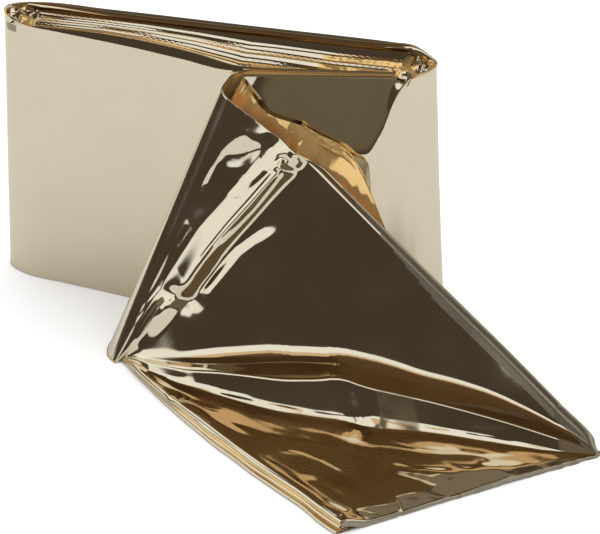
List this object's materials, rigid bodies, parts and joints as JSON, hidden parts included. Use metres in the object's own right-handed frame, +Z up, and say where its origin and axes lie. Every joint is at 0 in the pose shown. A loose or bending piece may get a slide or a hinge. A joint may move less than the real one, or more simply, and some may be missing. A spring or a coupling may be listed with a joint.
{
  "type": "emergency foil blanket, folded",
  "caption": "Metallised film blanket pleated into a ribbon and folded into a standing pack, its free end turned out, creased across and laid on the surface.",
  "frame": {"origin": "under the middle of the bounding box, on the surface that the blanket rests on", "axes": "+X along the pack's panels, towards the side where the free strip lies; +Y from the free strip towards the back of the pack; +Z up"},
  "size_m": [0.2164, 0.1572, 0.09],
  "materials": {
    "foil": "mirror-like metallised film, pale champagne outside and gold on the side folded inwards, softly creased and crinkled"
  },
  "bodies": {
    "root": {"foil_blanket": "foil"}
  },
  "joints": []
}
